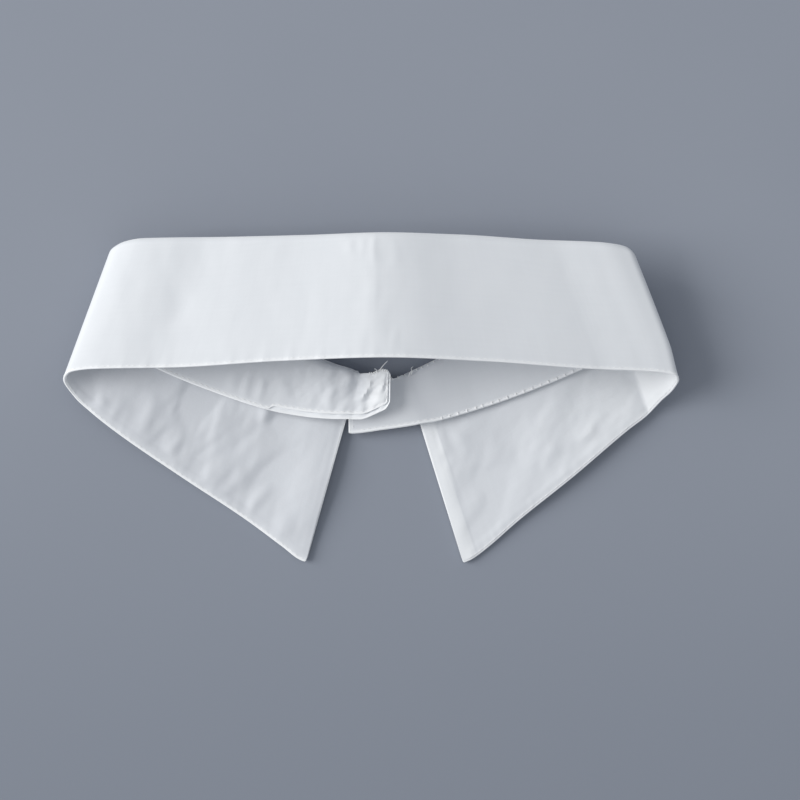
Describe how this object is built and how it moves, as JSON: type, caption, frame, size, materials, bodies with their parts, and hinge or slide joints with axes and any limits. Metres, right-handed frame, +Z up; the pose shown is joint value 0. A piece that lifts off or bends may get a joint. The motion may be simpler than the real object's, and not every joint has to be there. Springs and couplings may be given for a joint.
{
  "type": "detachable shirt collar",
  "caption": "Detachable white poplin shirt collar with pointed leaf and buttoned band, fastened into a ring and laid down flat.",
  "frame": {"origin": "middle of the collar's outline, at the level of the surface it lies on", "axes": "+X along the width, from the button's end of the band to the buttonhole's side, +Y from the points to the back roll line, +Z up from the surface"},
  "size_m": [0.2194, 0.1168, 0.029],
  "materials": {
    "white_poplin": "plain-weave cotton poplin, matt with a faint sheen",
    "pearl_plastic": "polished, faintly pearly"
  },
  "bodies": {
    "root": {"upper_collar": "white_poplin", "under_collar": "white_poplin", "inner_stand": "white_poplin", "outer_stand": "white_poplin", "button": "pearl_plastic"}
  },
  "joints": []
}
